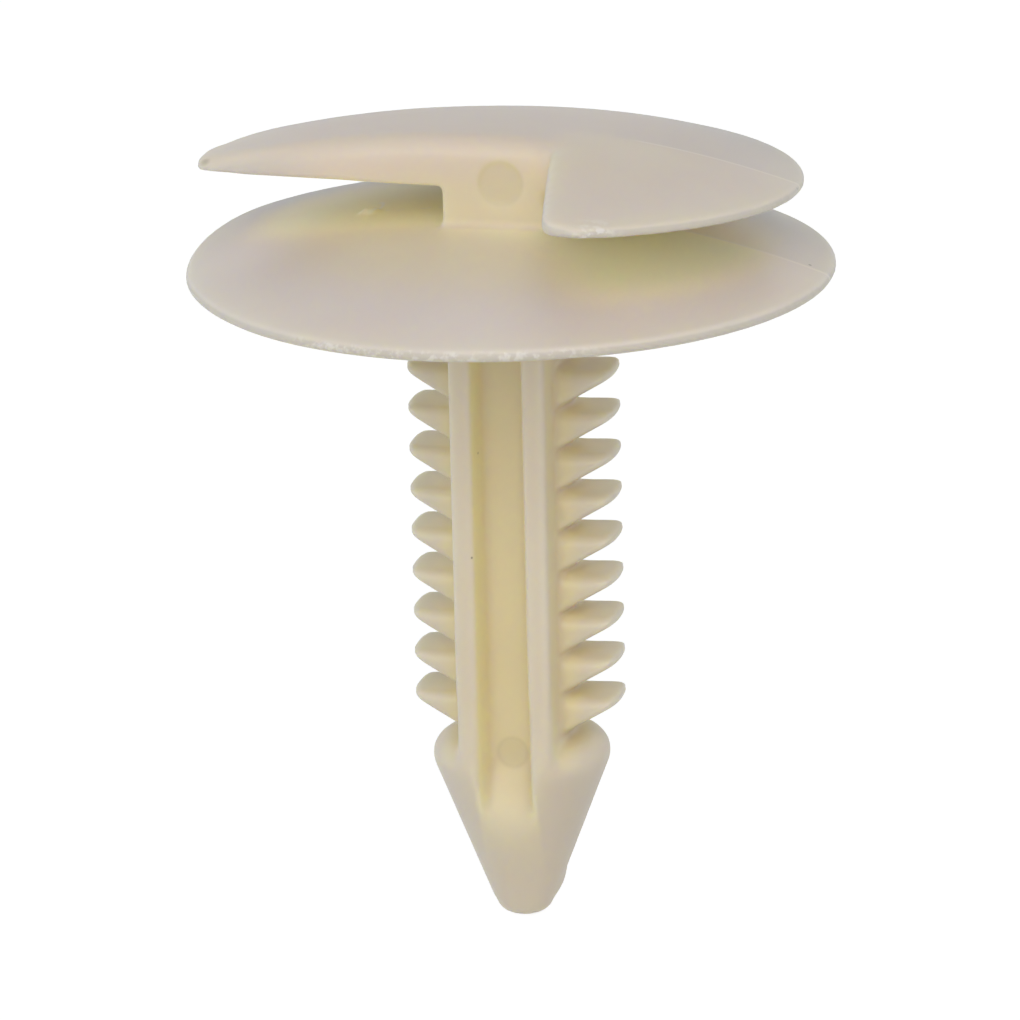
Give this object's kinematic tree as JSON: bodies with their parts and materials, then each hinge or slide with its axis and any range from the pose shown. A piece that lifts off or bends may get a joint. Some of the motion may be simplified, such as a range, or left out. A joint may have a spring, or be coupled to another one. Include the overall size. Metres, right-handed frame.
{
  "type": "trim panel retainer",
  "caption": "Push-in trim panel retainer in natural cream nylon: notched head disc, domed flange and a barbed, channelled stem with a blunt arrow point.",
  "frame": {"origin": "centre of the flat flange seat, on the stem axis", "axes": "+Z along the stem towards the head, -Y the side of the neck's open face, +X along that face towards the notch wall"},
  "size_m": [0.025, 0.025, 0.0321],
  "materials": {
    "nylon": "natural cream nylon, slightly translucent, satin moulded surface"
  },
  "bodies": {
    "root": {"retainer": "nylon"}
  },
  "joints": []
}
